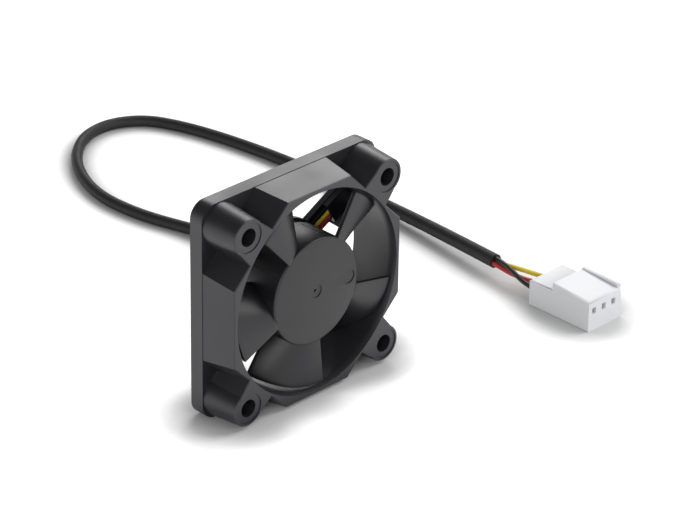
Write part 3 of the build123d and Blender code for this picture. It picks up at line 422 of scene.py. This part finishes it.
# Angle round the axis, with the sideways part of the thickness
aside = add(tree, "ShaderNodeMath", thick, slope["Y"], operation="MULTIPLY")
aside = add(tree, "ShaderNodeMath", aside, share, operation="MULTIPLY")
aside = add(tree, "ShaderNodeMath", aside, radius, operation="DIVIDE")
back = add(tree, "ShaderNodeMath", size["Half span angle"], -1.0, operation="MULTIPLY")
angle = add(tree, "ShaderNodeMapRange", share, 0.0, 1.0, size["Half span angle"], back)
angle = add(tree, "ShaderNodeMath", angle, aside, operation="ADD")
deeper = add(tree, "ShaderNodeMath", thick, slope["X"], operation="MULTIPLY")
depth = add(tree, "ShaderNodeMath", depth, deeper, operation="ADD")
depth = add(tree, "ShaderNodeMath", depth, FRAME_DEPTH / 2, operation="SUBTRACT")
along_x = add(tree, "ShaderNodeMath", angle, operation="COSINE")
along_x = add(tree, "ShaderNodeMath", along_x, radius, operation="MULTIPLY")
along_z = add(tree, "ShaderNodeMath", angle, operation="SINE")
along_z = add(tree, "ShaderNodeMath", along_z, radius, operation="MULTIPLY")
bent = add(tree, "ShaderNodeCombineXYZ", along_x, depth, along_z)
blade = add(tree, "GeometryNodeSetPosition", block, None, bent)
# Each copy is turned about the axis by its own number of steps
number = add(tree, "GeometryNodeInputIndex")
turn = add(tree, "ShaderNodeMath", number, size["Step angle"], size["First angle"],
           operation="MULTIPLY_ADD")
turn = add(tree, "ShaderNodeMath", turn, -1.0, operation="MULTIPLY")
turned = add(tree, "ShaderNodeCombineXYZ", None, turn)
spots = add(tree, "GeometryNodePoints", size["Blades"], (0, 0, AXIS_HEIGHT))
ring = add(tree, "GeometryNodeInstanceOnPoints", spots, None, blade, named={"Rotation": turned})
solid = add(tree, "GeometryNodeRealizeInstances", ring)
solid = add(tree, "GeometryNodeSetShadeSmooth", solid)
solid = add(tree, "GeometryNodeSetMaterial", solid, None, size["Material"])
add(tree, "NodeGroupOutput", solid)
print("blade tree nodes", len(tree.nodes))


# %% Grow the blades
def grown(name, tree, values):
    """Run a Geometry Nodes tree on an empty object and return the result as a plain mesh."""
    seed = bpy.data.objects.new(name, bpy.data.meshes.new(name))
    scene.collection.objects.link(seed)
    modifier = seed.modifiers.new("tree", "NODES")
    modifier.node_group = tree
    keys = {item.name: item.identifier for item in tree.interface.items_tree
            if item.item_type == "SOCKET" and item.in_out == "INPUT"}
    for key, value in values.items():
        modifier[keys[key]] = value
    depsgraph = bpy.context.evaluated_depsgraph_get()
    mesh = bpy.data.meshes.new_from_object(seed.evaluated_get(depsgraph), depsgraph=depsgraph)
    bpy.data.objects.remove(seed)
    return mesh


def finished(name, mesh, *modifiers):
    """Make an object of a mesh and apply modifiers given as (kind, settings) to it."""
    piece = bpy.data.objects.new(name, mesh)
    scene.collection.objects.link(piece)
    for kind, settings in modifiers:
        modifier = piece.modifiers.new(kind.lower(), kind)
        for key, value in settings.items():
            setattr(modifier, key, value)
    depsgraph = bpy.context.evaluated_depsgraph_get()
    plain = bpy.data.meshes.new_from_object(piece.evaluated_get(depsgraph), depsgraph=depsgraph)
    piece.modifiers.clear()
    piece.data = plain
    return piece


BLADE_EDGE = {"width": 0.12 * MM, "segments": 2, "limit_method": "ANGLE",
              "angle_limit": math.radians(50)}
blades_mesh = grown("blades", blades_tree, {**BLADE_SIZES, "Blades": 5, "Material": impeller_pbt})
blades = finished("blades", blades_mesh, ("BEVEL", BLADE_EDGE))
print("blade faces", len(blades.data.polygons))

# %% [markdown]
# ## Hub
# The hub is a cup: a flat face with two shallow round marks and a rim that holds the steel yoke.
# Its outline is turned about the axis like a lathe would, because every wall is round. The mark
# near the edge and the fine axial lines aren't round about that axis, so they are cut afterwards.

# %% Turn the hub
HUB_OUTLINE = [
    (0.0, 0.5), (0.3, 0.5), (0.3, 0.68), (1.15, 0.64), (1.2, 0.5), (9.3, 0.5), (9.47, 0.53),
    (9.62, 0.63), (9.71, 0.78), (9.75, 0.95), (9.75, 7.6), (9.0, 7.6), (9.0, 1.4), (1.5, 1.4),
    (1.5, 2.7), (0.75, 2.7), (0.75, 1.4), (0.0, 1.4)]
HUB_SEGMENTS = 128
HUB_RADIUS = 9.75 * MM
HUB_FACE = 0.5 * MM - FRAME_DEPTH / 2
MARK_PLACE, MARK_RADIUS, MARK_DEPTH = 7.6 * MM, 1.3 * MM, 0.13 * MM
MARK_SEGMENTS = 48
LINES, FIRST_LINE_DEGREES = 5, 2.7
LINE_MIDDLE = 4.0 * MM - FRAME_DEPTH / 2
LINE_BLOCK = (0.3 * MM, 5.8 * MM, 0.2 * MM)


def turned_solid(outline, segments):
    """A closed solid turned about the fan's axis from (radius, depth) points in millimetres."""
    made = bmesh.new()
    rings = []
    for radius, depth in outline:
        spots = []
        for n in range(segments if radius > 0 else 1):
            angle = 2 * math.pi * n / segments
            spots.append(made.verts.new((
                radius * MM * math.cos(angle), depth * MM - FRAME_DEPTH / 2,
                AXIS_HEIGHT + radius * MM * math.sin(angle))))
        rings.append(spots)
    for here, there in zip(rings, rings[1:]):
        for n in range(segments):
            after = (n + 1) % segments
            if len(here) == 1:
                made.faces.new((here[0], there[after], there[n]))
            elif len(there) == 1:
                made.faces.new((here[n], here[after], there[0]))
            else:
                made.faces.new((here[n], here[after], there[after], there[n]))
    bmesh.ops.recalc_face_normals(made, faces=made.faces)
    mesh = bpy.data.meshes.new("turned solid")
    made.to_mesh(mesh)
    made.free()
    return mesh


def cutters():
    """The round mark's disc and the five axial lines, as one mesh of separate blocks."""
    made = bmesh.new()
    centre = Vector((MARK_PLACE, HUB_FACE, AXIS_HEIGHT))
    flat = Matrix.Rotation(math.pi / 2, 4, "X")
    bmesh.ops.create_cone(
        made, cap_ends=True, segments=MARK_SEGMENTS, radius1=MARK_RADIUS, radius2=MARK_RADIUS,
        depth=2 * MARK_DEPTH, matrix=Matrix.Translation(centre) @ flat)
    for n in range(LINES):
        angle = math.radians(FIRST_LINE_DEGREES + 360.0 / LINES * n)
        spot = Vector((HUB_RADIUS * math.cos(angle), LINE_MIDDLE,
                       AXIS_HEIGHT + HUB_RADIUS * math.sin(angle)))
        turn = Matrix.Rotation(-angle, 4, "Y")
        size = Matrix.Diagonal((*LINE_BLOCK, 1.0))
        bmesh.ops.create_cube(made, size=1.0, matrix=Matrix.Translation(spot) @ turn @ size)
    mesh = bpy.data.meshes.new("cutters")
    made.to_mesh(mesh)
    made.free()
    return mesh


cutter = bpy.data.objects.new("cutters", cutters())
scene.collection.objects.link(cutter)
hub = finished("hub", turned_solid(HUB_OUTLINE, HUB_SEGMENTS),
               ("BOOLEAN", {"operation": "DIFFERENCE", "object": cutter, "solver": "EXACT"}))
bpy.data.objects.remove(cutter)
print("hub faces", len(hub.data.polygons))

# %% Join hub and blades into the impeller
IMPELLER_SHARP_ANGLE = math.radians(30)

joined = bmesh.new()
joined.from_mesh(hub.data)
joined.from_mesh(blades.data)
impeller_mesh = bpy.data.meshes.new("impeller")
joined.to_mesh(impeller_mesh)
joined.free()
for used in (hub, blades):
    bpy.data.objects.remove(used)
impeller_mesh.materials.clear()
impeller_mesh.materials.append(impeller_pbt)
for face in impeller_mesh.polygons:
    face.material_index = 0
impeller_mesh.shade_smooth()
impeller_mesh.set_sharp_from_angle(angle=IMPELLER_SHARP_ANGLE)
impeller = bpy.data.objects.new("moulded_impeller", impeller_mesh)
scene.collection.objects.link(impeller)
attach(impeller, "rotor")
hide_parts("impeller")
print("impeller triangles", sum(len(f.vertices) - 2 for f in impeller_mesh.polygons))

# %% [markdown]
# ## Coils
# Each pole carries a coil of enamelled copper wire. Turns of wire lie side by side, so a tree
# makes one rounded turn, repeats it along the pole and again as a second layer. Wire and turns are
# drawn coarser than real magnet wire, because the real one would be too fine to see.

# %% Coil tree
coil_tree = bpy.data.node_groups.new("wound coil", "GeometryNodeTree")
coil_tree.interface.new_socket(name="Geometry", in_out="OUTPUT", socket_type="NodeSocketGeometry")
COIL_SIZES = {"Wire diameter": 0.24 * MM, "Window width": 2.4 * MM, "Window length": 3.9 * MM,
              "Inner radius": 4.06 * MM, "Corner": 0.3 * MM}
COILS_MIDDLE = (0, -0.2 * MM, AXIS_HEIGHT)
CORNER_POINTS, WIRE_SIDES = 3, 8
for name in COIL_SIZES:
    coil_tree.interface.new_socket(name=name, in_out="INPUT", socket_type="NodeSocketFloat")
for name in ("Turns", "Layers", "Poles"):
    coil_tree.interface.new_socket(name=name, in_out="INPUT", socket_type="NodeSocketInt")
coil_tree.interface.new_socket(name="Material", in_out="INPUT", socket_type="NodeSocketMaterial")

tree = coil_tree
size = add(tree, "NodeGroupInput").outputs
number = add(tree, "GeometryNodeInputIndex")
count = add(tree, "ShaderNodeMath", size["Turns"], size["Layers"], operation="MULTIPLY")
wire_radius = add(tree, "ShaderNodeMath", size["Wire diameter"], 0.5, operation="MULTIPLY")
# One turn is a rounded rectangle round the pole, which lies along x
wide = add(tree, "ShaderNodeMath", size["Window width"], size["Wire diameter"], operation="ADD")
long = add(tree, "ShaderNodeMath", size["Window length"], size["Wire diameter"], operation="ADD")
turn_line = add(tree, "GeometryNodeCurvePrimitiveQuadrilateral", long, wide)
turn_line = add(tree, "GeometryNodeFilletCurve", turn_line, mode="POLY",
                named={"Count": CORNER_POINTS, "Radius": size["Corner"]})
profile = add(tree, "GeometryNodeCurvePrimitiveCircle", WIRE_SIDES, named={"Radius": wire_radius})
one_turn = add(tree, "GeometryNodeCurveToMesh", turn_line, profile)
# Places of the turns: along the pole first, then the next layer outwards
layer = add(tree, "ShaderNodeMath", number, size["Turns"], operation="DIVIDE")
layer = add(tree, "ShaderNodeMath", layer, operation="FLOOR")
place_in_layer = add(tree, "ShaderNodeMath", number, size["Turns"], operation="MODULO")
reach = add(tree, "ShaderNodeMath", place_in_layer, 0.5, operation="ADD")
reach = add(tree, "ShaderNodeMath", reach, size["Wire diameter"], size["Inner radius"],
            operation="MULTIPLY_ADD")
spot = add(tree, "ShaderNodeCombineXYZ", reach)
turns = add(tree, "GeometryNodePoints", count, spot)
wider = add(tree, "ShaderNodeMath", layer, size["Wire diameter"], operation="MULTIPLY")
wider = add(tree, "ShaderNodeMath", wider, 2.0, operation="MULTIPLY")
grow_x = add(tree, "ShaderNodeMath", wider, long, operation="DIVIDE")
grow_x = add(tree, "ShaderNodeMath", grow_x, 1.0, operation="ADD")
grow_y = add(tree, "ShaderNodeMath", wider, wide, operation="DIVIDE")
grow_y = add(tree, "ShaderNodeMath", grow_y, 1.0, operation="ADD")
grow = add(tree, "ShaderNodeCombineXYZ", grow_x, grow_y, 1.0)
# The turn is drawn flat; it stands up square to the pole with its length along the fan's axis
stand = (math.pi / 2, 0.0, math.pi / 2)
coil = add(tree, "GeometryNodeInstanceOnPoints", turns, None, one_turn,
           named={"Rotation": stand, "Scale": grow})
coil = add(tree, "GeometryNodeRealizeInstances", coil)
pole_number = add(tree, "GeometryNodeInputIndex")
pole_step = add(tree, "ShaderNodeMath", 2 * math.pi, size["Poles"], operation="DIVIDE")
pole_turn = add(tree, "ShaderNodeMath", pole_number, 0.5, operation="ADD")
pole_turn = add(tree, "ShaderNodeMath", pole_turn, pole_step, operation="MULTIPLY")
pole_turn = add(tree, "ShaderNodeCombineXYZ", None, pole_turn)
poles = add(tree, "GeometryNodePoints", size["Poles"], COILS_MIDDLE)
wound = add(tree, "GeometryNodeInstanceOnPoints", poles, None, coil, named={"Rotation": pole_turn})
wound = add(tree, "GeometryNodeRealizeInstances", wound)
wound = add(tree, "GeometryNodeSetShadeSmooth", wound)
wound = add(tree, "GeometryNodeSetMaterial", wound, None, size["Material"])
add(tree, "NodeGroupOutput", wound)
print("coil tree nodes", len(tree.nodes))

# %% Enamelled wire and the four coils
# Clear enamel over drawn copper: a warm orange metal with a smooth, fairly tight highlight
magnet_wire = worked("copper wire, enamelled", "#a2532a", "#b5653a", 0.26, 0.2, (1, 1, 1), 0.0005)
coil_mesh = grown("coils", coil_tree, {**COIL_SIZES, "Turns": 7, "Layers": 2, "Poles": 4,
                                       "Material": magnet_wire})
coils = finished("wound_coils", coil_mesh)
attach(coils, "frame")
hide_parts("coil_1", "coil_2", "coil_3", "coil_4")
print("coil triangles", sum(len(f.vertices) - 2 for f in coil_mesh.polygons),
      "box mm", [round(d / MM, 2) for d in coils.dimensions])


# %% [markdown]
# ## Plug body
# The plug is moulded from natural nylon with clearly rounded edges, which the sharp CAD solid
# doesn't show. A copy of the CAD mesh is welded, freed of its flat triangles and bevelled along
# its upper outer edges.

# %% Rounded plug body
PLUG_EDGE = {"width": 0.4 * MM, "segments": 4, "limit_method": "WEIGHT",
             "use_clamp_overlap": False}
PLUG_LOW = Vector((49.9, -22.0)) * MM
PLUG_HIGH = Vector((58.5, -8.0)) * MM
PLUG_UPPER = 5.0 * MM
NEAR = 0.01 * MM
WELD_DISTANCE = 0.002 * MM
FLAT_ANGLE = math.radians(1)
CORNER_ANGLE = math.radians(60)
SHARP_ANGLE = math.radians(35)


def outer_sides(spot):
    """Names of the plug's outer sides that a point lies on, and z if it is in the upper part."""
    sides = {
        "x": spot.x < PLUG_LOW.x + NEAR or spot.x > PLUG_HIGH.x - NEAR,
        "y": spot.y < PLUG_LOW.y + NEAR or spot.y > PLUG_HIGH.y - NEAR,
        "z": spot.z > PLUG_UPPER}
    return {name for name, there in sides.items() if there}


welded = bmesh.new()
welded.from_mesh(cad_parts["plug_housing"].data)
bmesh.ops.remove_doubles(welded, verts=welded.verts, dist=WELD_DISTANCE)
bmesh.ops.dissolve_limit(welded, angle_limit=FLAT_ANGLE, verts=welded.verts, edges=welded.edges)
# Only the upper outer edges are rounded this much; the holes are too fine for it, and the upright
# edges end in the CAD solid's own small fillets
weight = welded.edges.layers.float.new("bevel_weight_edge")
for edge in welded.edges:
    first, second = (outer_sides(v.co) for v in edge.verts)
    shared = first & second
    if "z" in shared and len(shared) > 1 and edge.calc_face_angle(0.0) > CORNER_ANGLE:
        edge[weight] = 1.0
print("rounded edges", sum(1 for e in welded.edges if e[weight]), "of", len(welded.edges))
plug_mesh = bpy.data.meshes.new("plug")
welded.to_mesh(plug_mesh)
welded.free()
plug_mesh.materials.clear()
plug_mesh.materials.append(plug_nylon)
plug_mesh.shade_smooth()
plug_mesh.set_sharp_from_angle(angle=SHARP_ANGLE)
# Normals weighted by area keep the broad faces flat beside their rounded edges
plug = finished("rounded_plug_body", plug_mesh, ("BEVEL", PLUG_EDGE),
                ("WEIGHTED_NORMAL", {"keep_sharp": True, "weight": 80}))
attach(plug, "frame")
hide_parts("plug_housing")
print("plug triangles", sum(len(f.vertices) - 2 for f in plug.data.polygons))


# %% [markdown]
# ## Leads and sleeve
# Three stranded leads with PVC insulation run from the fan's board into one black sleeve, and
# spread again to the plug. A smooth curve through the points of the CAD route keeps their length.
# The insulation is extruded, so its skin is smooth with faint lines along it.

# %% Extruded insulation
def extruded(name, colour, colour_2, roughness, ripple_mm, ripple_height_mm):
    """Extruded PVC: even colour, soft gloss and slight ripples in its skin."""
    material = empty_material(name)
    tree = material.node_tree
    place = add(tree, "ShaderNodeTexCoord").outputs["Object"]
    ripple = add(tree, "ShaderNodeTexNoise",
                 named={"Vector": place, "Scale": per_metre(ripple_mm), "Detail": 2.0})
    colours = add(tree, "ShaderNodeMix", named={"Factor": ripple.outputs[0]}, data_type="RGBA")
    colours.inputs[6].default_value = linear(colour)
    colours.inputs[7].default_value = linear(colour_2)
    gloss = add(tree, "ShaderNodeMapRange", ripple, *NOISE_ENDS, roughness - 0.03, roughness + 0.05)
    bump = add(tree, "ShaderNodeBump",
               named={"Height": ripple.outputs[0], "Distance": ripple_height_mm / 1000})
    surface = add(tree, "ShaderNodeBsdfPrincipled", named={
        "Base Color": colours.outputs[2], "Roughness": gloss.outputs[0], "IOR": 1.53,
        "Normal": bump.outputs[0]})
    add(tree, "ShaderNodeOutputMaterial", surface)
    return material


sleeve_pvc = extruded("PVC sleeving, extruded, black", "#0c0c0d", "#101011", 0.6, 1.2, 0.02)
lead_pvc = {
    "yellow": extruded("PVC insulation, extruded, yellow", "#d2c030", "#dac93c", 0.38, 0.8, 0.01),
    "red": extruded("PVC insulation, extruded, red", "#ac2a2c", "#b63234", 0.38, 0.8, 0.01),
    "black": extruded("PVC insulation, extruded, black", "#0d0d0e", "#111112", 0.4, 0.8, 0.01)}
print("insulation", list(lead_pvc))


# %% Lay the cords
def cord_curve(name, points_mm, diameter_mm, material, thickness=None):
    """A round cord on a smooth curve; thickness scales its diameter at each point."""
    curve = bpy.data.curves.new(name, "CURVE")
    curve.dimensions = "3D"
    curve.bevel_depth = diameter_mm / 2 * MM
    curve.bevel_resolution = 4
    curve.resolution_u = 8
    curve.use_fill_caps = True
    line = curve.splines.new("NURBS")
    line.points.add(len(points_mm) - 1)
    for n, (x, y, z) in enumerate(points_mm):
        line.points[n].co = (x * MM, y * MM, z * MM, 1.0)
        line.points[n].radius = thickness[n] if thickness else 1.0
    line.order_u = 3
    line.use_endpoint_u = True
    curve.materials.append(material)
    piece = bpy.data.objects.new(name, curve)
    scene.collection.objects.link(piece)
    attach(piece, "frame")
    return piece


SLEEVE_POINTS = [
    (21.4, 7.6, 33.0), (22.2, 14.5, 30.6), (23.6, 22.0, 24.4), (24.8, 28.8, 16.4),
    (25.4, 35.6, 8.6), (25.2, 43.4, 2.6), (24.4, 53.2, 1.12), (21.2, 64.5, 1.12),
    (21.0, 76.0, 1.12), (26.0, 87.5, 1.12), (34.0, 95.4, 1.12), (42.0, 97.4, 1.12),
    (49.2, 93.9, 1.12), (52.7, 86.5, 1.12), (55.0, 77.0, 1.12), (56.6, 64.0, 1.2),
    (57.0, 50.0, 1.4), (56.5, 35.6, 1.8), (55.3, 19.3, 2.4), (53.2, 3.3, 3.2)]
SLEEVE_DIAMETER = 2.2
# The sleeve is shrunk on: it opens a little towards the plug, where the leads spread
SLEEVE_THICKNESS = [1.0] * 15 + [1.04, 1.08, 1.13, 1.18, 1.23]
sleeve = cord_curve("black_sleeve", SLEEVE_POINTS, SLEEVE_DIAMETER, sleeve_pvc, SLEEVE_THICKNESS)
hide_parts("cable_sleeve")

# Points along the leads: from the board through the strut to the sleeve, and from there to the plug
LEAD_ROUTES = {
    "fan_lead_black": [(4.11, 3.65, 25.84), (21.29, 3.65, 35.17), (21.29, 6.65, 33.92),
                       (21.42, 7.78, 33.52)],
    "fan_lead_yellow": [(4.61, 3.65, 24.92), (20.78, 3.65, 33.7), (20.78, 6.44, 33.13),
                        (20.91, 7.57, 32.74)],
    "fan_lead_red": [(5.11, 3.65, 24.0), (21.74, 3.65, 33.02), (21.74, 6.33, 33.13),
                     (21.87, 7.45, 32.74)],
    "plug_lead_yellow": [(53.67, 3.22, 2.92), (53.52, 2.04, 2.98), (54.6, -1.0, 2.9),
                         (55.7, -4.4, 2.6), (56.44, -7.4, 2.6), (56.44, -9.7, 2.6)],
    "plug_lead_red": [(52.72, 3.35, 2.92), (52.57, 2.16, 2.98), (52.6, -0.6, 2.6),
                      (52.9, -4.2, 2.5), (53.9, -7.4, 2.6), (53.9, -9.7, 2.6)],
    "plug_lead_black": [(53.2, 3.33, 3.75), (53.05, 2.14, 3.81), (52.2, -1.2, 3.8),
                        (51.3, -5.0, 3.0), (51.36, -7.4, 2.6), (51.36, -9.7, 2.6)]}
LEAD_DIAMETER = 0.9
for node, route in LEAD_ROUTES.items():
    lead = cord_curve("wire_" + node, route, LEAD_DIAMETER, lead_pvc[node.split("_")[-1]])
    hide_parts(node)
